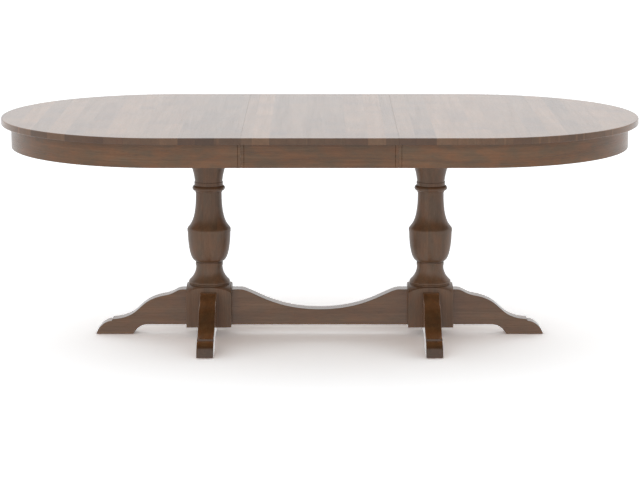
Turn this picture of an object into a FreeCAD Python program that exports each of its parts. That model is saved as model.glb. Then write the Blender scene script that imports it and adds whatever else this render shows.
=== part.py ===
"""Extending oval dining table on two turned pedestals, drawn open with its leaf in place.

Millimetres. The origin is on the floor under the middle of the table, +X runs along the
table's length, -Y is its front and +Z is up. Left is -X.
"""
import FreeCAD
import Part
import math
import os

# Table top
table_length = 2184.0
table_width = 1160.0
table_height = 768.0
top_thickness = 22.0
top_arris = 4.0
under_arris = 3.0
leaf_width = 508.0
seam_gap = 0.4

# Aprons, with a bead on each end that meets a seam
apron_setback = 34.0
apron_height = 80.0
apron_thickness = 20.0
apron_arris = 1.5
bead_width = 10.0
bead_groove = 1.6
block_leg = 28.0
block_nose = 12.0
block_length = 64.0
arc_blocks = 5
leaf_blocks = 3

# Turned columns
column_spacing = 768.0
block_size = 156.0
block_bottom = 35.0
block_height = 121.5
block_arris = 2.0
shoulder_rise = 21.0
shoulder_swell = 4.0
ring_radius = 71.6
ring_root = 69.0
ring_height = 8.8
ring_gap = 2.5
fillet_radius = 70.0
fillet_height = 0.8
flare_height = 47.9
lower_neck = 46.0
collar_radius = 47.4
collar_height = 9.0
collar_gap = 6.0
quirk_radius = 44.0
quirk_height = 5.0
bowl_foot = 47.6
bowl_height = 105.0
bowl_radius = 74.2
rim_radius = 75.4
rim_height = 8.0
upper_neck = 44.9
step_radius = 46.5
step_height = 5.5
bead_radius = 56.5
bead_height = 18.5
band_radius = 49.4
band_height = 12.0
cove_foot = 47.2
cove_height = 72.4
cap_height = 24.0
flare_curve = ((0.95, 0.42), (1, 0.88))
bowl_curve = ((1, 0.06), (1, 0.98))
neck_curve = ((0.12, 0.115), (1.03, 0.115))
cove_curve = ((0.1, 0.28), (0.33, 0.76))

# Feet and stretcher
foot_thickness = 57.0
foot_reach = 395.0
foot_top = 159.4
foot_flat = 10.0
knee_run = 77.4
knee_height = 137.7
toe_length = 54.0
lip_height = 53.4
lip_step = 6.0
lip_slant = 3.0
sole_length = 130.0
arch_run = 64.0
foot_arris = 2.5
stretcher_flat = 28.5
scoop_height = 88.7
knee_curve = ((0.434, 0), (0.413, 0.667))
hollow_curve = ((0.568, 0.225), (0.41, 0.906))
toe_curve = ((0.18, 0), (0.722, 0.125))
arch_curve = ((0.3, 1.1), (0.75, 1))
scoop_fall = ((0.159, 0), (0.391, 1))
scoop_climb = ((0.609, 0), (0.841, 1))
glide_height = 2.0
glide_radius = 14.0
nail_radius = 1.6
nail_length = 14.0

# Foot joints: a bolt, its nut in a pocket under the column, and two dowels
pocket_size = 76.0
pocket_depth = 95.0
bolt_radius = 4.0
bolt_height = 97.0
bolt_bite = 46.0
bolt_proud = 12.0
bolt_play = 0.5
washer_radius = 10.0
washer_thickness = 1.6
nut_flats = 13.0
nut_height = 6.5
dowel_radius = 5.0
dowel_half = 20.0
dowel_rise = 37.0

# Extension slides: a fixed rail between two sliding ones, tied by a pinion and two racks
slide_spread = 260.0
rail_height = 52.0
rail_thickness = 28.0
rail_overlap = 60.0
rail_end_gap = 50.0
side_gap = 0.5
run_gap = 1.5
fixed_overrun = 26.0
tongue_rise = 14.0
tongue_neck = 12.0
tongue_tip = 16.0
tongue_depth = 7.6
tongue_play = 0.4
gear_rise = 37.0
gear_module = 3.0
gear_teeth = 12
gear_thickness = 10.0
pressure_angle = math.radians(25.0)
addendum = 2.4
dedendum = 3.0
tooth_play = 0.3
flank_points = 4
spare_teeth = 1.5
rack_recess = 0.1
rack_height = 12.0
rack_backing = 5.0
window_play = 2.0
pin_radius = 4.0
pin_play = 0.05
pin_seat = 6.0
extra_travel = 38.0

# Bearers that carry the fixed rails on the columns
bearer_width = 140.0
bearer_thickness = 28.0
bearer_overhang = 45.0
bearer_chamfer = 18.0
bearer_chamfer_run = 38.0

# Battens under the leaf
batten_width = 60.0
batten_thickness = 20.0
batten_play = 2.0
batten_inset = 24.0
batten_chamfer = 8.0

# Screws
lag_radius = 3.0
lag_head_radius = 7.0
lag_head_height = 5.0
lag_bite = 17.0
lag_spread = 40.0
cap_screw_bite = 34.0
cap_screw_spread = 45.0
head_round = 1.2
drive_flats = 4.0
drive_depth = 2.2
screw_radius = 2.5
screw_head_radius = 5.0
screw_head_height = 4.0
screw_bite = 14.0
screw_bore_radius = 5.5
screw_bore_depth = 24.0
screw_back_edge = 10.0
rail_screws = 4
screw_end_margin = 60.0
leaf_screw_count = 3

# Edges this close to a plane count as lying in it
touch = 1.0

# Places worked out from the sizes above
underside = table_height - top_thickness
end_radius = table_width / 2
arc_center = table_length / 2 - end_radius
seam_x = leaf_width / 2 + seam_gap
apron_radius = end_radius - apron_setback
apron_inner = apron_radius - apron_thickness
apron_bottom = underside - apron_height
column_x = column_spacing / 2
block_half = block_size / 2

pitch_radius = gear_module * gear_teeth / 2
tooth_pitch = math.pi * gear_module
tooth_width = tooth_pitch / 2 - tooth_play
fixed_thickness = 2 * (pitch_radius - addendum - rack_recess - side_gap)
rail_bottom = underside - rail_height
fixed_top = underside - run_gap
fixed_bottom = rail_bottom - run_gap
gear_z = rail_bottom + gear_rise
tongue_z = rail_bottom + tongue_rise
outer_rail_reach = slide_spread + fixed_thickness / 2 + side_gap + rail_thickness
rail_end = arc_center + math.sqrt(apron_inner ** 2 - outer_rail_reach ** 2) - rail_end_gap
rack_in = extra_travel + spare_teeth * tooth_pitch
rack_out = leaf_width / 2 + spare_teeth * tooth_pitch

column_top = fixed_bottom - bearer_thickness
bearer_reach = slide_spread + fixed_thickness / 2 + bearer_overhang
inner_rail_face = slide_spread - fixed_thickness / 2 - side_gap - rail_thickness

parts = {}


def vector(x, y, z):
    return FreeCAD.Vector(x, y, z)


def upright(a, b):
    return vector(a, 0, b)


def plan(a, b):
    return vector(a, b, 0)


def across(a, b):
    return vector(0, a, b)


class Outline:
    """A closed outline, drawn from point to point in the plane that place maps to space."""

    def __init__(self, place, start):
        self.place = place
        self.start = start
        self.at = start
        self.edges = []

    def line(self, *points):
        for to in points:
            self.edges.append(Part.makeLine(self.place(*self.at), self.place(*to)))
            self.at = to
        return self

    def arc(self, through, to):
        ends = [self.place(*point) for point in (self.at, through, to)]
        self.edges.append(Part.Arc(*ends).toShape())
        self.at = to
        return self

    def curve(self, to, lead, tail):
        """A smooth curve whose two handles are given as shares of its run and its rise."""
        run = to[0] - self.at[0]
        rise = to[1] - self.at[1]
        handles = [(self.at[0] + run * share[0], self.at[1] + rise * share[1]) for share in (lead, tail)]
        bezier = Part.BezierCurve()
        bezier.setPoles([self.place(*point) for point in (self.at, *handles, to)])
        self.edges.append(bezier.toShape())
        self.at = to
        return self

    def face(self):
        if self.at != self.start:
            self.line(self.start)
        return Part.Face(Part.Wire(self.edges))


def box(xs, ys, zs):
    low = vector(min(xs), min(ys), min(zs))
    return Part.makeBox(max(xs) - low.x, max(ys) - low.y, max(zs) - low.z, low)


def rod(radius, length, start, along):
    return Part.makeCylinder(radius, length, start, along)


def spun(shape, degrees):
    turned = shape.copy()
    turned.rotate(vector(0, 0, 0), vector(0, 0, 1), degrees)
    return turned


def moved(shape, x, y, z):
    return shape.translated(vector(x, y, z))


def flipped(shape, side):
    """The shape as drawn on the left for side -1, or its mirror image on the right for +1."""
    return shape if side < 0 else shape.mirror(vector(0, 0, 0), vector(1, 0, 0))


def mirrored_front(shape, row):
    """The shape as drawn at the back for row +1, or its mirror image at the front for -1."""
    return shape if row > 0 else shape.mirror(vector(0, 0, 0), vector(0, 1, 0))


def edges_where(shape, wanted):
    return [edge for edge in shape.Edges if wanted(edge.BoundBox)]


def evenly(first, last, count):
    if count == 1:
        return [(first + last) / 2]
    return [first + (last - first) * step / (count - 1) for step in range(count)]


def hexagon(place, flats, middle):
    """A six-sided face about middle, with the given width across its flats."""
    corner = flats / math.sqrt(3)
    angles = [math.radians(60 * step) for step in range(6)]
    a, b = middle
    corners = [(a + corner * math.cos(angle), b + corner * math.sin(angle)) for angle in angles]
    return Outline(place, corners[0]).line(*corners[1:]).face()


def pan_screw(radius, length, head_radius, head_height):
    """A screw that points up, with the underside of its head at the origin and a hex socket in it."""
    shank = rod(radius, length, vector(0, 0, 0), vector(0, 0, 1))
    head = rod(head_radius, head_height, vector(0, 0, -head_height), vector(0, 0, 1))
    head = head.makeFillet(head_round, edges_where(head, lambda b: b.ZMax < touch - head_height))
    socket = hexagon(plan, drive_flats, (0, 0)).extrude(vector(0, 0, drive_depth))
    return head.fuse(shank).removeSplitter().cut(moved(socket, 0, 0, -head_height))


# Top panels

def half_panel():
    """The left half of the top: a straight run from the seam, then a half circle."""
    outline = Outline(plan, (-seam_x, -end_radius)).line((-arc_center, -end_radius))
    outline.arc((-arc_center - end_radius, 0), (-arc_center, end_radius)).line((-seam_x, end_radius))
    panel = moved(outline.face().extrude(vector(0, 0, top_thickness)), 0, 0, underside)
    return eased(panel, lambda b: b.XMin < -seam_x - touch)


def leaf_panel():
    half = leaf_width / 2
    panel = box((-half, half), (-end_radius, end_radius), (underside, table_height))
    return eased(panel, lambda b: b.YLength < touch)


def eased(panel, on_rim):
    """Round the upper and lower corners of the rim."""
    upper = edges_where(panel, lambda b: on_rim(b) and b.ZMin > table_height - touch)
    panel = panel.makeFillet(top_arris, upper)
    lower = edges_where(panel, lambda b: on_rim(b) and b.ZMax < underside + touch)
    return panel.makeFillet(under_arris, lower)


# Aprons

def bead_cut(x, toward):
    """The groove that sets off the bead at an apron's end, on the outer face of the back apron."""
    mid = x + toward * bead_width
    outline = Outline(plan, (mid - bead_groove, apron_radius + bead_groove))
    outline.line((mid, apron_radius - bead_groove), (mid + bead_groove, apron_radius + bead_groove))
    return moved(outline.face().extrude(vector(0, 0, apron_height)), 0, 0, apron_bottom)


def half_ring(radius):
    outline = Outline(plan, (-seam_x, -radius)).line((-arc_center, -radius))
    outline.arc((-arc_center - radius, 0), (-arc_center, radius)).line((-seam_x, radius))
    return outline.face().extrude(vector(0, 0, apron_height))


def end_apron():
    """One bent band round the left end of the table."""
    band = moved(half_ring(apron_radius).cut(half_ring(apron_inner)), 0, 0, apron_bottom)
    groove = bead_cut(-seam_x, -1)
    band = band.cut([groove, mirrored_front(groove, -1)])
    lower = edges_where(band, lambda b: b.ZMax < apron_bottom + touch and b.YLength > 2 * apron_inner + touch)
    return band.makeFillet(apron_arris, lower)


def leaf_apron():
    half = leaf_width / 2
    board = box((-half, half), (apron_inner, apron_radius), (apron_bottom, underside))
    lower = edges_where(board, lambda b: b.ZMax < apron_bottom + touch and b.YMin > apron_radius - touch)
    return board.makeFillet(apron_arris, lower).cut([bead_cut(-half, 1), bead_cut(half, -1)])


def block_section(place, back):
    """The section of a glue block that fills the corner between an apron and the top."""
    low = underside - block_leg
    front = back - block_leg
    nose = back - block_nose
    outline = Outline(place, (back, underside))
    return outline.line((front, underside), (front, underside - block_nose), (nose, low), (back, low)).face()


def straight_block(x):
    block = block_section(across, apron_inner).extrude(vector(block_length, 0, 0))
    return moved(block, x - block_length / 2, 0, 0)


def end_blocks():
    """Glue blocks behind the left apron: along its bend and on its two straight runs."""
    span = math.degrees(block_length / apron_inner)
    straight = straight_block(-(seam_x + arc_center) / 2)
    blocks = [straight, mirrored_front(straight, -1)]
    for angle in evenly(90, 270, arc_blocks + 2)[1:-1]:
        section = block_section(upright, apron_inner)
        block = section.revolve(vector(0, 0, 0), vector(0, 0, 1), span)
        blocks.append(moved(spun(block, angle - span / 2), -arc_center, 0, 0))
    return blocks


def leaf_apron_blocks():
    reach = leaf_width / 2 - block_length
    blocks = [straight_block(x) for x in evenly(-reach, reach, leaf_blocks)]
    return blocks + [mirrored_front(block, -1) for block in blocks]


# Leaf battens

def leaf_batten():
    """The back batten: it runs across the leaf's boards, beside the inner sliding rail."""
    half = leaf_width / 2 - batten_inset
    low = underside - batten_thickness
    outline = Outline(upright, (-half, underside)).line((-half, low + batten_chamfer))
    outline.line((-half + batten_chamfer, low), (half - batten_chamfer, low))
    outline.line((half, low + batten_chamfer), (half, underside))
    batten = outline.face().extrude(vector(0, batten_width, 0))
    return moved(batten, 0, inner_rail_face - batten_play - batten_width, 0)


def leaf_screws():
    length = batten_thickness + screw_bite
    screw = pan_screw(screw_radius, length, screw_head_radius, screw_head_height)
    reach = leaf_width / 2 - batten_inset - screw_end_margin
    y = inner_rail_face - batten_play - batten_width / 2
    places = [(x, side * y) for x in evenly(-reach, reach, leaf_screw_count) for side in (-1, 1)]
    return [moved(screw, x, y, underside - batten_thickness) for x, y in places]


# Columns

def pommel(low, corner, top):
    """A square block whose end is turned to a rounded shoulder, from low up to top."""
    square = box((-block_half, block_half), (-block_half, block_half), (low, top))
    uprights = edges_where(square, lambda b: b.XLength < touch and b.YLength < touch)
    square = square.makeFillet(block_arris, uprights)
    corner_radius = block_half * math.sqrt(2)
    outline = Outline(upright, (0, low)).line((corner_radius, low), (corner_radius, corner))
    middle = ((corner_radius + ring_root) / 2, (corner + top) / 2 + shoulder_swell)
    outline.arc(middle, (ring_root, top)).line((0, top))
    return square.common(outline.face().revolve(vector(0, 0, 0), vector(0, 0, 1), 360))


def turning(low, high):
    """The turned length of a column, between its two square blocks."""
    z = low + ring_gap
    outline = Outline(upright, (0, low)).line((ring_root, low), (ring_root, z))
    outline.arc((ring_radius, z + ring_height / 2), (ring_root, z + ring_height))
    z += ring_height
    outline.line((fillet_radius, z), (fillet_radius, z + fillet_height))
    z += fillet_height + flare_height
    outline.curve((lower_neck, z), *flare_curve)
    z += collar_gap
    outline.line((lower_neck, z), (collar_radius, z), (collar_radius, z + collar_height))
    z += collar_height
    outline.line((quirk_radius, z), (quirk_radius, z + quirk_height))
    z += quirk_height
    outline.line((bowl_foot, z))
    z += bowl_height
    outline.curve((bowl_radius, z), *bowl_curve)
    outline.line((rim_radius, z), (rim_radius, z + rim_height))

    cap_ring = high - ring_gap - ring_height
    cap_fillet = cap_ring - fillet_height
    cove = cap_fillet - cove_height
    bead_top = cove - band_height
    bead_foot = bead_top - bead_height
    neck = bead_foot - step_height
    outline.curve((upper_neck, neck), *neck_curve)
    outline.line((step_radius, neck), (step_radius, bead_foot))
    outline.arc((bead_radius, bead_foot + bead_height / 2), (band_radius, bead_top))
    outline.line((band_radius, cove), (cove_foot, cove))
    outline.curve((fillet_radius, cap_fillet), *cove_curve)
    outline.line((fillet_radius, cap_ring), (ring_root, cap_ring))
    outline.arc((ring_radius, cap_ring + ring_height / 2), (ring_root, high - ring_gap))
    outline.line((ring_root, high), (0, high))
    return outline.face().revolve(vector(0, 0, 0), vector(0, 0, 1), 360)


def column():
    """A turned column about the Z axis, with a nut pocket and foot holes in its lower block."""
    corner = block_bottom + block_height
    low = corner + shoulder_rise
    high = column_top - cap_height - shoulder_rise
    base = pommel(block_bottom, corner, low)
    cap = pommel(-column_top, cap_height - column_top, -high)
    cap.rotate(vector(0, 0, 0), vector(1, 0, 0), 180)
    post = base.fuse([turning(low, high), cap]).removeSplitter()
    half = pocket_size / 2
    pocket = box((-half, half), (-half, half), (block_bottom, block_bottom + pocket_depth))
    cuts = [pocket]
    for quarter in range(4):
        hole = rod(bolt_radius + bolt_play, block_half, vector(0, 0, bolt_height), vector(1, 0, 0))
        cuts.append(spun(hole, quarter * 90))
        cuts += [spun(dowel, quarter * 90) for dowel in joint_dowels()]
    for x, y in cap_screw_places():
        start = vector(x, y, column_top - cap_screw_bite)
        cuts.append(rod(lag_radius, cap_screw_bite, start, vector(0, 0, 1)))
    return post.cut(cuts)


def cap_screw_places():
    offsets = (-cap_screw_spread, cap_screw_spread)
    return [(x, y) for x in offsets for y in offsets]


# Foot joints, drawn for the foot that points along +X from a column on the Z axis

def joint_dowels():
    heights = (bolt_height - dowel_rise, bolt_height + dowel_rise)
    start = block_half - dowel_half
    return [rod(dowel_radius, 2 * dowel_half, vector(start, 0, z), vector(1, 0, 0)) for z in heights]


def joint_bolt():
    inner = pocket_size / 2 - bolt_proud
    length = block_half + bolt_bite - inner
    return rod(bolt_radius, length, vector(inner, 0, bolt_height), vector(1, 0, 0))


def joint_washer():
    start = vector(pocket_size / 2 - washer_thickness, 0, bolt_height)
    disc = rod(washer_radius, washer_thickness, start, vector(1, 0, 0))
    return disc.cut(joint_bolt())


def joint_nut():
    nut = hexagon(across, nut_flats, (0, bolt_height)).extrude(vector(nut_height, 0, 0))
    return moved(nut, pocket_size / 2 - washer_thickness - nut_height, 0, 0).cut(joint_bolt())


def joint_cuts():
    """What the bolt and the dowels take out of a foot or of the stretcher's end."""
    return [joint_bolt(), *joint_dowels()]


# Feet and stretcher

def foot():
    """A scrolled foot along +X: a flat at the column, a knee, a long hollow, a step and a toe."""
    flat = block_half + foot_flat
    knee = (block_half + knee_run, knee_height)
    toe = (foot_reach - toe_length, lip_height - lip_step)
    lip = (toe[0] - lip_slant, lip_height)
    heel = foot_reach - sole_length
    outline = Outline(upright, (block_half, block_bottom)).line((block_half, foot_top), (flat, foot_top))
    outline.curve(knee, *knee_curve).curve(lip, *hollow_curve)
    outline.line(toe).curve((foot_reach, glide_height), *toe_curve)
    outline.line((heel, glide_height)).curve((heel - arch_run, block_bottom), *arch_curve)
    blank = moved(outline.face().extrude(vector(0, foot_thickness, 0)), 0, -foot_thickness / 2, 0)
    shaped = blank.makeFillet(foot_arris, top_edges(blank, block_half))
    nail = rod(nail_radius, nail_length, vector(glide_x(), 0, glide_height), vector(0, 0, 1))
    return shaped.cut([*joint_cuts(), nail])


def top_edges(blank, start):
    """The long edges along a blank's shaped upper side, beyond start."""
    return edges_where(blank, lambda b: b.YLength < touch and b.XMax > start + touch and on_upper_side(b))


def on_upper_side(bound):
    flat_below = bound.ZLength < touch and bound.ZMax < foot_top - touch
    arch = bound.ZMax < block_bottom + foot_arris
    end_grain = bound.XLength < touch
    return not (flat_below or arch or end_grain)


def glide_x():
    return foot_reach - sole_length / 2


def glide():
    disc = rod(glide_radius, glide_height, vector(glide_x(), 0, 0), vector(0, 0, 1))
    nail = rod(nail_radius, nail_length, vector(glide_x(), 0, glide_height), vector(0, 0, 1))
    return disc.fuse(nail).removeSplitter()


def stretcher():
    """The rail between the columns, scooped along its top edge."""
    end = column_x - block_half
    flat = end - stretcher_flat
    outline = Outline(upright, (-end, block_bottom)).line((-end, foot_top), (-flat, foot_top))
    outline.curve((0, scoop_height), *scoop_fall).curve((flat, foot_top), *scoop_climb)
    outline.line((end, foot_top), (end, block_bottom))
    blank = moved(outline.face().extrude(vector(0, foot_thickness, 0)), 0, -foot_thickness / 2, 0)
    shaped = blank.makeFillet(foot_arris, top_edges(blank, -end))
    cuts = [moved(cut, -column_x, 0, 0) for cut in joint_cuts()]
    cuts += [moved(spun(cut, 180), column_x, 0, 0) for cut in joint_cuts()]
    return shaped.cut(cuts)


# Bearers and fixed rails

def bearer():
    """A cross piece about the Z axis that joins a column to both fixed rails."""
    flat = bearer_reach - bearer_chamfer_run
    step = column_top + bearer_chamfer
    outline = Outline(across, (-flat, column_top)).line((flat, column_top), (bearer_reach, step))
    outline.line((bearer_reach, fixed_bottom), (-bearer_reach, fixed_bottom), (-bearer_reach, step))
    board = moved(outline.face().extrude(vector(bearer_width, 0, 0)), -bearer_width / 2, 0, 0)
    starts = [vector(x, y, column_top) for x, y in cap_screw_places() + lag_places()]
    return board.cut([rod(lag_radius, bearer_thickness, start, vector(0, 0, 1)) for start in starts])


def lag_places():
    return [(x, y) for x in (-lag_spread, lag_spread) for y in (-slide_spread, slide_spread)]


def cap_screws():
    screw = pan_screw(lag_radius, bearer_thickness + cap_screw_bite, lag_head_radius, lag_head_height)
    screw.rotate(vector(0, 0, 0), vector(1, 0, 0), 180)
    return [moved(screw, x, y, fixed_bottom) for x, y in cap_screw_places()]


def lag_screws():
    screw = pan_screw(lag_radius, bearer_thickness + lag_bite, lag_head_radius, lag_head_height)
    return [moved(screw, x, y, column_top) for x, y in lag_places()]


def dovetail(face, toward, neck, tip, depth, xs):
    """A dovetail bar along X that stands out of the plane y = face, in the direction toward."""
    far = face + toward * depth
    outline = Outline(across, (face, tongue_z - neck / 2)).line((far, tongue_z - tip / 2))
    outline.line((far, tongue_z + tip / 2), (face, tongue_z + neck / 2))
    return moved(outline.face().extrude(vector(max(xs) - min(xs), 0, 0)), min(xs), 0, 0)


def fixed_rail_end():
    return column_x + bearer_width / 2 + fixed_overrun


def fixed_rail():
    """The back fixed rail: a dovetail groove along each side and a window for the pinion."""
    end = fixed_rail_end()
    near = slide_spread - fixed_thickness / 2
    far = slide_spread + fixed_thickness / 2
    span = (-end, end)
    rail = box(span, (near, far), (fixed_bottom, fixed_top))
    neck = tongue_neck + 2 * tongue_play
    tip = tongue_tip + 2 * tongue_play
    depth = tongue_depth - side_gap + tongue_play
    cuts = [dovetail(near, 1, neck, tip, depth, span), dovetail(far, -1, neck, tip, depth, span)]
    half = pitch_radius + addendum + window_play
    lift = gear_thickness / 2 + window_play
    cuts.append(box((-half, half), (near, far), (gear_z - lift, gear_z + lift)))
    cuts.append(gear_pin())
    for center in (-column_x, column_x):
        for x in (-lag_spread, lag_spread):
            start = vector(center + x, slide_spread, fixed_bottom)
            cuts.append(rod(lag_radius, lag_bite, start, vector(0, 0, 1)))
    return rail.cut(cuts)


# Gears

def gear_pin():
    foot_z = gear_z - gear_thickness / 2 - window_play - pin_seat
    return rod(pin_radius, fixed_top - foot_z, vector(0, slide_spread, foot_z), vector(0, 0, 1))


def pinion():
    """The back pinion: involute teeth, with one tooth pointing at each rack."""
    base = pitch_radius * math.cos(pressure_angle)
    tip = pitch_radius + addendum
    root = pitch_radius - dedendum
    half_width = tooth_width / (2 * pitch_radius)

    def involute(angle):
        return math.tan(angle) - angle

    def polar(radius, angle):
        return (radius * math.cos(angle), radius * math.sin(angle))

    def half_angle(radius):
        return half_width + involute(pressure_angle) - involute(math.acos(base / radius))

    radii = evenly(base, tip, flank_points)
    step = 2 * math.pi / gear_teeth
    centers = [math.pi / 2 + step * tooth for tooth in range(gear_teeth)]
    outline = Outline(plan, polar(root, centers[0] - half_angle(base)))
    for center in centers:
        flank = [polar(radius, center - half_angle(radius)) for radius in radii]
        back = [polar(radius, center + half_angle(radius)) for radius in reversed(radii)]
        outline.line(*flank)
        outline.arc(polar(tip, center), back[0])
        outline.line(*back[1:], polar(root, center + half_angle(base)))
        following = center + step
        outline.arc(polar(root, center + step / 2), polar(root, following - half_angle(base)))
    wheel = Part.Face(Part.Wire(outline.edges)).extrude(vector(0, 0, gear_thickness))
    bore = rod(pin_radius + pin_play, gear_thickness, vector(0, 0, 0), vector(0, 0, 1))
    return moved(wheel.cut(bore), 0, slide_spread, gear_z - gear_thickness / 2)


def rack(outward):
    """The back rack of the left half (outward +1) or of the right half (outward -1)."""
    pitch_y = slide_spread + outward * pitch_radius
    tip_y = pitch_y - outward * addendum
    root_y = pitch_y + outward * dedendum
    back_y = root_y + outward * rack_backing
    slope = math.tan(pressure_angle)
    tip_half = tooth_width / 2 - addendum * slope
    root_half = tooth_width / 2 + dedendum * slope
    first, last = rack_span(outward)
    outline = Outline(plan, (first, back_y)).line((first, root_y))
    lowest = math.ceil((first + root_half) / tooth_pitch - 0.5)
    highest = math.floor((last - root_half) / tooth_pitch - 0.5)
    for tooth in range(lowest, highest + 1):
        x = (tooth + 0.5) * tooth_pitch
        outline.line((x - root_half, root_y), (x - tip_half, tip_y))
        outline.line((x + tip_half, tip_y), (x + root_half, root_y))
    outline.line((last, root_y), (last, back_y))
    bar = outline.face().extrude(vector(0, 0, rack_height))
    return moved(bar, 0, 0, gear_z - rack_height / 2)


def rack_span(outward):
    """Where a rack starts and ends along X. The left half's rack reaches further to the left."""
    return (-rack_out, rack_in) if outward > 0 else (-rack_in, rack_out)


# Sliding rails

def rail_span(outward):
    return (-rail_end, rail_overlap) if outward > 0 else (-rail_overlap, rail_end)


def sliding_rail(outward):
    """A back sliding rail: outside the fixed rail for the left half, inside it for the right."""
    face = slide_spread + outward * (fixed_thickness / 2 + side_gap)
    far = face + outward * rail_thickness
    span = rail_span(outward)
    rail = box(span, (face, far), (rail_bottom, underside))
    rail = rail.fuse(dovetail(face, -outward, tongue_neck, tongue_tip, tongue_depth, span)).removeSplitter()
    seat = slide_spread + outward * (pitch_radius + dedendum + rack_backing)
    half = rack_height / 2
    cuts = [box(rack_span(outward), (face, seat), (gear_z - half, gear_z + half))]
    for x in rail_screw_places(outward):
        y = far - outward * screw_back_edge
        cuts.append(rod(screw_bore_radius, screw_bore_depth, vector(x, y, rail_bottom), vector(0, 0, 1)))
        cuts.append(rod(screw_radius, rail_height, vector(x, y, rail_bottom), vector(0, 0, 1)))
    return rail.cut(cuts)


def rail_screw_places(outward):
    first = seam_x + screw_end_margin
    return [-outward * x for x in evenly(first, rail_end - screw_end_margin, rail_screws)]


def rail_screw_group(outward):
    length = rail_height - screw_bore_depth + screw_bite
    screw = pan_screw(screw_radius, length, screw_head_radius, screw_head_height)
    y = slide_spread + outward * (fixed_thickness / 2 + side_gap + rail_thickness - screw_back_edge)
    places = [(x, row * y) for x in rail_screw_places(outward) for row in (-1, 1)]
    return [moved(screw, x, y, rail_bottom + screw_bore_depth) for x, y in places]


def group(shapes):
    return Part.makeCompound(shapes)


# Assembly

def add_base():
    bolts = []
    washers = []
    nuts = []
    dowels = []
    glides = []
    parts["stretcher"] = stretcher()
    scrolled = foot()
    for name, x, outer in (("left", -column_x, 180), ("right", column_x, 0)):
        parts["column_" + name] = moved(column(), x, 0, 0)
        parts["bearer_" + name] = moved(bearer(), x, 0, 0)
        for place, angle in (("front", -90), ("back", 90), ("side", outer)):
            parts["foot_" + place + "_" + name] = moved(spun(scrolled, angle), x, 0, 0)
            glides.append(moved(spun(glide(), angle), x, 0, 0))
        for angle in (-90, 90, 0, 180):
            bolts.append(moved(spun(joint_bolt(), angle), x, 0, 0))
            washers.append(moved(spun(joint_washer(), angle), x, 0, 0))
            nuts.append(moved(spun(joint_nut(), angle), x, 0, 0))
            dowels += [moved(spun(dowel, angle), x, 0, 0) for dowel in joint_dowels()]
    parts["foot_bolts"] = group(bolts)
    parts["foot_washers"] = group(washers)
    parts["foot_nuts"] = group(nuts)
    parts["foot_dowels"] = group(dowels)
    parts["floor_glides"] = group(glides)
    centers = (-column_x, column_x)
    parts["bearer_screws"] = group([moved(screw, x, 0, 0) for screw in cap_screws() for x in centers])
    parts["fixed_rail_screws"] = group([moved(screw, x, 0, 0) for screw in lag_screws() for x in centers])
    for name, row in (("front", -1), ("back", 1)):
        parts["fixed_rail_" + name] = mirrored_front(fixed_rail(), row)
        parts["pinion_" + name] = mirrored_front(pinion(), row)
    parts["gear_pins"] = group([mirrored_front(gear_pin(), row) for row in (-1, 1)])


def add_half(name, side):
    outward = -side
    screws = rail_screw_group(outward)
    parts["top_" + name] = flipped(half_panel(), side).cut(screws)
    parts["apron_" + name] = flipped(end_apron(), side)
    parts["apron_blocks_" + name] = group([flipped(block, side) for block in end_blocks()])
    parts["rail_screws_" + name] = group(screws)
    for place, row in (("front", -1), ("back", 1)):
        parts["sliding_rail_" + name + "_" + place] = mirrored_front(sliding_rail(outward), row)
        parts["rack_" + name + "_" + place] = mirrored_front(rack(outward), row)


def add_leaf():
    screws = leaf_screws()
    parts["leaf_top"] = leaf_panel().cut(screws)
    parts["leaf_apron_blocks"] = group(leaf_apron_blocks())
    parts["leaf_screws"] = group(screws)
    for place, row in (("front", -1), ("back", 1)):
        parts["leaf_apron_" + place] = mirrored_front(leaf_apron(), row)
        parts["leaf_batten_" + place] = mirrored_front(leaf_batten(), row).cut(screws)


add_base()
add_half("left", -1)
add_half("right", 1)
add_leaf()

os.makedirs("parts", exist_ok=True)
for node, shape in parts.items():
    shape.exportStep("parts/" + node + ".step")
    print(node, "solids", len(shape.Solids), "valid", shape.isValid(), "volume", round(shape.Volume))
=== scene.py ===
"""The look of the oval dining table: its materials, a pale floor, soft light and the camera."""
import math

import bpy
import mathutils
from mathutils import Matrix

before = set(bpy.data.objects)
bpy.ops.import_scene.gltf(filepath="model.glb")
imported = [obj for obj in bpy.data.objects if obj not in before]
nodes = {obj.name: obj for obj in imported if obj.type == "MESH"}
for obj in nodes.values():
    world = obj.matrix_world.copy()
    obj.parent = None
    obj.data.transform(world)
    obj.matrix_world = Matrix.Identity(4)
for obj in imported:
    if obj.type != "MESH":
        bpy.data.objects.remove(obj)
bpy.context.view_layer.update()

# Camera: its place in metres, its tilt below level in degrees, lens and sensor in millimetres
camera_place = (0.00087, -8.0692, 1.8362)
camera_pitch = 10.58
camera_lens = 132.96
camera_sensor = 36.0
camera_reach = 200.0

# Light: a sky that is brighter near the horizon and towards the back, and a soft lamp in front
ring_level = 0.98
zenith_level = 0.57
ring_fade = (0.52, 0.78)
back_lean = 0.38
fill_place = (-2.2, -7.0, 2.6)
fill_aim = (0.0, 0.0, 0.35)
fill_size = 5.0
fill_power = 92.0

# Floor: one colour for the light that it throws back, one for where it is seen
floor_colour = (0.82, 0.81, 0.80, 1)
floor_seen = (1.68, 1.71, 1.73, 1)
floor_size = 60.0
floor_height = -0.0002
white = (1, 1, 1, 1)
black = (0, 0, 0, 1)

# Sizes of the table that the apron's grain follows, in metres, and a shift between its two sides
arc_center = 0.512
apron_radius = 0.546
side_shift = 7.0

# Widths of the boards that the pieces are glued from, in metres
top_board = 0.062
apron_board = 0.30
column_board = 0.048
foot_board = 0.11
rail_board = 0.3
bearer_board = 0.16
board_unevenness = 0.4

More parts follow.
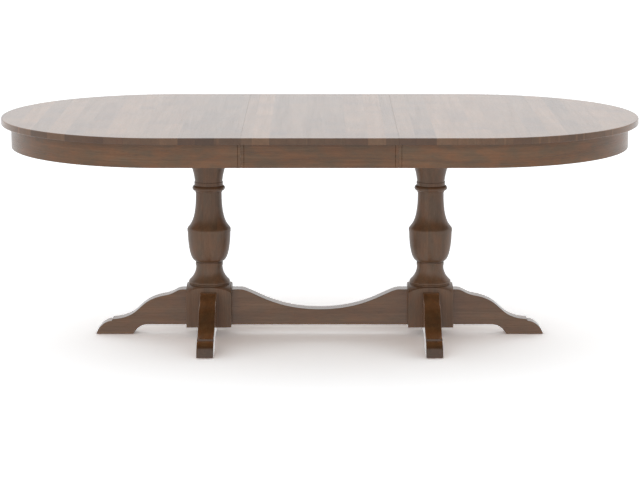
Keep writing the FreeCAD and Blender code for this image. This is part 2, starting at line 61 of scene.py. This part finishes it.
# Grain: waves per metre along a board, across it and through it, and its jump between boards
figure_waves = (1.6, 24.0, 24.0)
streak_waves = (5.0, 190.0, 190.0)
pore_waves = (45.0, 1100.0, 1100.0)
cloud_waves = (14.0, 30.0, 30.0)
patch_waves = 6.0
curl_waves = (55.0, 40.0)
board_jump = 31.0
patch_jump = 50.0

# Tone of the wood: shares of figure and streaks, and what they and the boards do to the stain
figure_share = 0.62
streak_share = 0.38
tone_reach = 0.18
board_green = 1.06
board_blue = 1.15
cloud_hues = ((0.36, (0.82, 0.92, 1.0)), (0.64, (1.22, 1.02, 0.86)))
patch_hues = ((0.3, (0.66, 0.56, 0.56)), (0.5, (1, 1, 1)), (0.72, (1.2, 1.22, 1.2)))
# Curl flecks on the top: where they begin and how much lighter they make it, partly the wood's
# figure and partly a painted glint
curl_glint_fade = (0.64, 0.74)
curl_glint_level = 1.5
pore_fade = (0.30, 0.46)
pore_level = 0.72
glue_level = 0.55
# How much darker a face gets as it turns across the grain: end grain, and on the feet's sloping
# faces under the top also painted shade
end_and_shade_fade = (0.15, 0.65)

# Surface of the wood: roughness where it is dark and light, and the depth of its relief in metres
blend_fade = (0.3, 0.7)
dark_roughness = 0.06
light_roughness = -0.05
coat_roughness = 0.1
pore_depth = 0.6
streak_depth = 0.4
relief_depth = 0.0004

# Places of the mix node's share, two colours and result among its sockets
mix_share, mix_first, mix_second = 0, 6, 7
mix_result = 2


class Shader:
    """A material or world whose nodes are added by short calls, which return output sockets."""

    def __init__(self, owner, surface="Principled BSDF"):
        self.owner = owner
        self.owner.use_nodes = True
        self.tree = owner.node_tree
        self.surface = self.tree.nodes[surface]

    def node(self, kind, inputs=None, **settings):
        made = self.tree.nodes.new(kind)
        for name, value in settings.items():
            setattr(made, name, value)
        for name, value in (inputs or {}).items():
            self.feed(made.inputs[name], value)
        return made

    def feed(self, socket, value):
        """Links another socket to this one, or sets a plain value on it."""
        if isinstance(value, bpy.types.NodeSocket):
            self.tree.links.new(value, socket)
        else:
            socket.default_value = value

    def math(self, operation, first, second=0.0):
        return self.node("ShaderNodeMath", {0: first, 1: second}, operation=operation).outputs[0]

    def coordinates(self, kind):
        """Three numbers: Object is the place and Normal the facing in the object's own frame."""
        where = self.node("ShaderNodeTexCoord").outputs[kind]
        return list(self.node("ShaderNodeSeparateXYZ", {0: where}).outputs)

    def vector(self, x, y, z):
        return self.node("ShaderNodeCombineXYZ", {0: x, 1: y, 2: z}).outputs[0]

    def scaled(self, parts, factors):
        """A vector of three numbers, each times a factor of its own."""
        pairs = zip(parts, factors)
        return self.vector(*(self.math("MULTIPLY", part, factor) for part, factor in pairs))

    def noise(self, vector, detail=2.0, roughness=0.5, distortion=0.0):
        values = {"Vector": vector, "Scale": 1.0, "Detail": detail}
        values.update({"Roughness": roughness, "Distortion": distortion})
        return self.node("ShaderNodeTexNoise", values).outputs["Fac"]

    def strips(self, along, randomness):
        """Strips of uneven width: two chance numbers for each, and the distance to its edge."""
        values = {"W": along, "Scale": 1.0, "Randomness": randomness}
        line = {"voronoi_dimensions": "1D"}
        cell = self.node("ShaderNodeTexVoronoi", values, **line)
        edge = self.node("ShaderNodeTexVoronoi", values, feature="DISTANCE_TO_EDGE", **line)
        parts = self.node("ShaderNodeSeparateColor", {0: cell.outputs["Color"]})
        return parts.outputs[0], parts.outputs[1], edge.outputs["Distance"]

    def spread(self, value, low, high, to_low=0.0, to_high=1.0):
        """Carries a number from one range to another and keeps it inside."""
        values = {"Value": value, "From Min": low, "From Max": high}
        values.update({"To Min": to_low, "To Max": to_high})
        return self.node("ShaderNodeMapRange", values).outputs["Result"]

    def ramp(self, value, stops):
        made = self.node("ShaderNodeValToRGB", {"Fac": value})
        elements = made.color_ramp.elements
        while len(elements) < len(stops):
            elements.new(0.5)
        for element, (position, colour) in zip(elements, stops):
            element.position = position
            element.color = (*colour, 1)
        return made.outputs["Color"]

    def mix(self, share, first, second, blend="MIX"):
        made = self.node("ShaderNodeMix", data_type="RGBA", blend_type=blend)
        self.feed(made.inputs[mix_share], share)
        self.feed(made.inputs[mix_first], first)
        self.feed(made.inputs[mix_second], second)
        return made.outputs[mix_result]

    def shade(self, colour, level):
        """A colour made lighter or darker by one number."""
        return self.mix(1.0, colour, self.vector(level, level, level), "MULTIPLY")

    def bump(self, height, strength, distance):
        values = {"Height": height, "Strength": strength, "Distance": distance}
        return self.node("ShaderNodeBump", values).outputs["Normal"]

    def seen(self):
        """One for rays from the camera, a reflection or through glass, and zero for the rest."""
        rays = self.node("ShaderNodeLightPath").outputs
        reflected = self.math("MAXIMUM", rays["Is Glossy Ray"], rays["Is Transmission Ray"])
        return self.math("MAXIMUM", rays["Is Camera Ray"], reflected)

    def finish(self, **sockets):
        for name, value in sockets.items():
            self.feed(self.surface.inputs[name.replace("_", " ")], value)
        return self.owner


def new_material(name):
    return Shader(bpy.data.materials.new(name))


# Ways that the grain can run: each turns a place into numbers along, across and through the board
def along_x(x, y, z, shader):
    return x, z, y


def along_y(x, y, z, shader):
    return y, x, z


def along_z(x, y, z, shader):
    return z, x, y


def foot_along_y(x, y, z, shader):
    return y, z, x


def round_apron(x, y, z, shader):
    """Along the bent band: straight first, then round the end."""
    reach = shader.math("ABSOLUTE", x)
    past = shader.math("MAXIMUM", shader.math("SUBTRACT", reach, arc_center), 0.0)
    turn = shader.math("ARCTAN2", past, shader.math("ABSOLUTE", y))
    straight = shader.math("MINIMUM", reach, arc_center)
    run = shader.math("ADD", straight, shader.math("MULTIPLY", turn, apron_radius))
    side = shader.math("MULTIPLY", shader.math("SIGN", y), side_shift)
    return shader.math("ADD", run, side), z, 0.0


def wood(name, grain, tones, board_width, seed, gloss, board_shift, lines=0.0, coat=0.0,
         relief=0.12, end_grain_and_shade=0.0, blotch=0.0, contrast=1.0, patches_and_glint=False):
    """Wood of glued boards. Tones are dark, middle and light, and lines a glue line's width."""
    shader = new_material(name)
    along, across, depth = grain(*shader.coordinates("Object"), shader)
    place = shader.math("ADD", shader.math("DIVIDE", across, board_width), seed)
    tone, shift, edge = shader.strips(place, board_unevenness)

    # Grain
    run = shader.math("ADD", along, shader.math("MULTIPLY", shift, board_jump))
    lie = (run, across, depth)
    figure = shader.noise(
        shader.scaled(lie, figure_waves), detail=4.0, roughness=0.55, distortion=0.9
    )
    streak = shader.noise(
        shader.scaled(lie, streak_waves), detail=3.0, roughness=0.6, distortion=0.3
    )
    pores = shader.noise(shader.scaled(lie, pore_waves))
    blend = shader.math(
        "ADD",
        shader.math("MULTIPLY", figure, figure_share),
        shader.math("MULTIPLY", streak, streak_share),
    )
    dark, middle, light = tones
    reach = tone_reach / contrast
    colour = shader.ramp(blend, [(0.5 - reach, dark), (0.5, middle), (0.5 + reach, light)])

    # Boards and the uneven stain
    board = shader.spread(tone, 0.0, 1.0, 1.0 - board_shift, 1.0 + board_shift)
    board_tone = shader.vector(
        board, shader.math("POWER", board, board_green), shader.math("POWER", board, board_blue)
    )
    colour = shader.mix(1.0, colour, board_tone, "MULTIPLY")
    cloud = shader.noise(shader.scaled(lie, cloud_waves), detail=3.0, roughness=0.55)
    colour = shader.mix(blotch, colour, shader.ramp(cloud, cloud_hues), "MULTIPLY")
    if patches_and_glint:
        own = shader.math("MULTIPLY", tone, patch_jump)
        patches = shader.noise(shader.vector(shader.math("MULTIPLY", run, patch_waves), own, 0.0))
        colour = shader.mix(1.0, colour, shader.ramp(patches, patch_hues), "MULTIPLY")
        # Curl figure: lighter flecks across the boards, partly the wood's own figure and partly a
        # painted glint
        curl_along = shader.math("MULTIPLY", run, curl_waves[0])
        curl_across = shader.math("MULTIPLY", across, curl_waves[1])
        curl = shader.noise(shader.vector(curl_along, curl_across, own), detail=1.0)
        colour = shader.shade(colour, shader.spread(curl, *curl_glint_fade, 1.0, curl_glint_level))

    # Pores, glue lines and darker faces across the grain: real end grain, and on the feet's
    # sloping faces also painted shade
    colour = shader.shade(colour, shader.spread(pores, *pore_fade, pore_level, 1.0))
    if lines:
        colour = shader.shade(
            colour, shader.spread(edge, 0.0, lines / board_width, glue_level, 1.0)
        )
    if end_grain_and_shade:
        facing = shader.math("ABSOLUTE", grain(*shader.coordinates("Normal"), shader)[0])
        colour = shader.shade(colour, shader.spread(facing, *end_and_shade_fade, 1.0, 1.0 - end_grain_and_shade))

    height = shader.math(
        "ADD",
        shader.math("MULTIPLY", pores, pore_depth),
        shader.math("MULTIPLY", streak, streak_depth),
    )
    rough_dark = gloss + dark_roughness * contrast
    rough_light = gloss + light_roughness * contrast
    return shader.finish(
        Base_Color=colour,
        Roughness=shader.spread(blend, *blend_fade, rough_dark, rough_light),
        Normal=shader.bump(height, relief, relief_depth),
        Coat_Weight=coat,
        Coat_Roughness=coat_roughness,
    )


def metal(name, tone, rough, scratches):
    """Plated or oiled steel with fine turning marks and a little tarnish."""
    mark_waves = (scratches, scratches, 90.0)
    tarnish_waves = (60.0, 60.0, 60.0)
    tarnish_level = 0.62
    tarnish_fade = (0.35, 0.62)
    smooth, coarse = rough - 0.08, rough + 0.12
    mark_fade = (0.3, 0.7)
    mark_strength = 0.1
    mark_depth = 0.0002

    shader = new_material(name)
    place = shader.coordinates("Object")
    marks = shader.noise(shader.scaled(place, mark_waves), detail=4.0)
    tarnish = shader.noise(shader.scaled(place, tarnish_waves))
    dull = tuple(part * tarnish_level for part in tone)
    return shader.finish(
        Base_Color=shader.ramp(tarnish, list(zip(tarnish_fade, (dull, tone)))),
        Metallic=1.0,
        Roughness=shader.spread(marks, *mark_fade, smooth, coarse),
        Normal=shader.bump(marks, mark_strength, mark_depth),
    )


def plastic(name, tone):
    """Moulded nylon with a fine matt grain."""
    grain_waves = (900.0, 900.0, 900.0)
    grain_level = 0.85
    grain_fade = (0.3, 0.7)
    grain_strength = 0.15
    grain_depth = 0.0002
    roughness = 0.55

    shader = new_material(name)
    grain = shader.noise(shader.scaled(shader.coordinates("Object"), grain_waves))
    dark = tuple(part * grain_level for part in tone)
    return shader.finish(
        Base_Color=shader.ramp(grain, list(zip(grain_fade, (dark, tone)))),
        Roughness=roughness,
        Normal=shader.bump(grain, grain_strength, grain_depth),
    )


def tinted(tones, red, green, blue):
    """The same three tones with each channel made stronger or weaker."""
    return tuple((tone[0] * red, tone[1] * green, tone[2] * blue) for tone in tones)


# Stains: a dark, a middle and a light tone
stain = ((0.085, 0.038, 0.016), (0.150, 0.074, 0.034), (0.215, 0.118, 0.060))
apron_stain = tinted(stain, 1.08, 1.12, 1.13)
column_stain = tinted(stain, 1.03, 1.16, 1.38)
# Side feet and stretcher: the stain made lighter, a painted lift of light that makes up for the
# shade under the top
base_lifted_stain = tinted(stain, 1.16, 1.16, 1.16)
front_stain = tinted(stain, 1.32, 1.18, 0.92)
top_stain = tinted(stain, 1.6, 1.6, 1.6)
bare = ((0.36, 0.23, 0.12), (0.46, 0.31, 0.17), (0.55, 0.40, 0.24))

# Finishes
top_finish = {
    "gloss": 0.2, "coat": 0.31, "relief": 0.015, "blotch": 0.3, "contrast": 0.4,
    "board_shift": 0.3, "lines": 0.0006, "end_grain_and_shade": 0.46, "patches_and_glint": True,
}
apron_finish = {
    "gloss": 0.26, "coat": 0.08, "relief": 0.06, "blotch": 0.85, "contrast": 0.6,
    "board_shift": 0.12,
}
column_finish = {
    "gloss": 0.36, "coat": 0.04, "relief": 0.05, "blotch": 0.6, "contrast": 0.5,
    "board_shift": 0.06,
}
foot_finish = {
    "gloss": 0.22, "coat": 0.3, "relief": 0.04, "blotch": 0.4, "contrast": 0.6,
    "board_shift": 0.04,
}
bare_finish = {"gloss": 0.5, "board_shift": 0.1}

# Materials
own_woods = {}
for name, seed in (("top_left", 3.0), ("leaf_top", 40.3), ("top_right", 77.7)):
    own_woods[name] = wood(f"{name}_wood", along_y, top_stain, top_board, seed, **top_finish)
for name, seed in (("apron_left", 5.0), ("apron_right", 15.0)):
    own_woods[name] = wood(
        f"{name}_wood", round_apron, apron_stain, apron_board, seed, **apron_finish
    )
leaf_apron_wood = wood(
    "leaf_apron_wood", along_x, apron_stain, apron_board, seed=25.0, **apron_finish
)
column_wood = wood(
    "column_wood", along_z, column_stain, column_board, seed=8.0, **column_finish
)
side_wood = wood(
    "side_foot_wood", along_x, base_lifted_stain, foot_board, seed=12.0, end_grain_and_shade=0.45, **foot_finish
)
# Front and back feet: the end grain darkening here also paints the shade on their sloping faces
# under the top
front_wood = wood(
    "front_foot_wood", foot_along_y, front_stain, foot_board, seed=14.0, end_grain_and_shade=0.6,
    **foot_finish,
)
rail_wood = wood("rail_wood", along_x, bare, rail_board, seed=2.0, **bare_finish)
bearer_wood = wood("bearer_wood", along_y, bare, bearer_board, seed=6.0, **bare_finish)
steel = metal("zinc_steel", (0.62, 0.61, 0.58), rough=0.36, scratches=700.0)
gear = metal("gear_steel", (0.40, 0.40, 0.41), rough=0.30, scratches=900.0)
nylon = plastic("nylon", (0.055, 0.040, 0.030))

# The first line whose words begin a node's name gives its material
looks = (
    (("apron_blocks", "leaf_apron_blocks", "leaf_batten", "foot_dowels"), rail_wood),
    (("leaf_apron",), leaf_apron_wood),
    (("column",), column_wood),
    (("foot_side", "stretcher"), side_wood),
    (("foot_front", "foot_back"), front_wood),
    (("bearer_screws", "fixed_rail_screws", "rail_screws", "leaf_screws"), steel),
    (("foot_bolts", "foot_nuts", "foot_washers", "gear_pins"), steel),
    (("bearer",), bearer_wood),
    (("fixed_rail", "sliding_rail"), rail_wood),
    (("pinion", "rack"), gear),
    (("floor_glides",), nylon),
)


def look_of(name):
    """The material of a node: its own, or the one that its name calls for."""
    if name in own_woods:
        return own_woods[name]
    return next(material for words, material in looks if name.startswith(words))


for name, node in nodes.items():
    node.data.materials.clear()
    node.data.materials.append(look_of(name))


def white_floor():
    """Pale, keeps the table's shadow and runs out to white. In reflections it is plain white."""
    shader = new_material("floor")
    mirrored = shader.node("ShaderNodeLightPath").outputs["Is Glossy Ray"]
    pale = shader.mix(shader.seen(), floor_colour, floor_seen)
    return shader.finish(
        Base_Color=shader.mix(mirrored, pale, black),
        Emission_Color=white,
        Emission_Strength=mirrored,
        Roughness=1.0,
        Specular_IOR_Level=0.0,
    )


def studio_sky():
    """White where it is seen. The light that it gives is a ring that leans towards the back."""
    shader = Shader(bpy.data.worlds.new("studio"), "Background")
    _, y, z = shader.coordinates("Generated")
    ring = shader.spread(z, *ring_fade, ring_level, zenith_level)
    lean = shader.spread(y, -1.0, 1.0, 1.0 - back_lean, 1.0 + back_lean)
    light = shader.math("MULTIPLY", ring, lean)
    strength = shader.spread(shader.seen(), 0.0, 1.0, light, 1.0)
    return shader.finish(Color=white, Strength=strength)


def placed(name, data, location):
    """A new object for a lamp or a camera."""
    made = bpy.data.objects.new(name, data)
    made.location = location
    bpy.context.scene.collection.objects.link(made)
    return made


# Floor
bpy.ops.mesh.primitive_plane_add(size=floor_size, location=(0, 0, floor_height))
floor = bpy.context.object
floor.name = "floor"
floor.data.materials.append(white_floor())

# Sky, and the lamp, which gives light but no glare on the top
bpy.context.scene.world = studio_sky()
fill = bpy.data.lights.new("front_fill", "AREA")
fill.energy = fill_power
fill.size = fill_size
fill_object = placed("front_fill", fill, fill_place)
fill_object.visible_glossy = False
fill_path = mathutils.Vector(fill_aim) - mathutils.Vector(fill_place)
fill_object.rotation_euler = fill_path.to_track_quat("-Z", "Y").to_euler()

# Camera
camera = bpy.data.cameras.new("camera")
camera.lens = camera_lens
camera.sensor_width = camera_sensor
camera.clip_end = camera_reach
camera_object = placed("camera", camera, camera_place)
camera_object.rotation_euler = (math.radians(90 - camera_pitch), 0, 0)
bpy.context.scene.camera = camera_object
bpy.context.scene.view_settings.view_transform = "Standard"
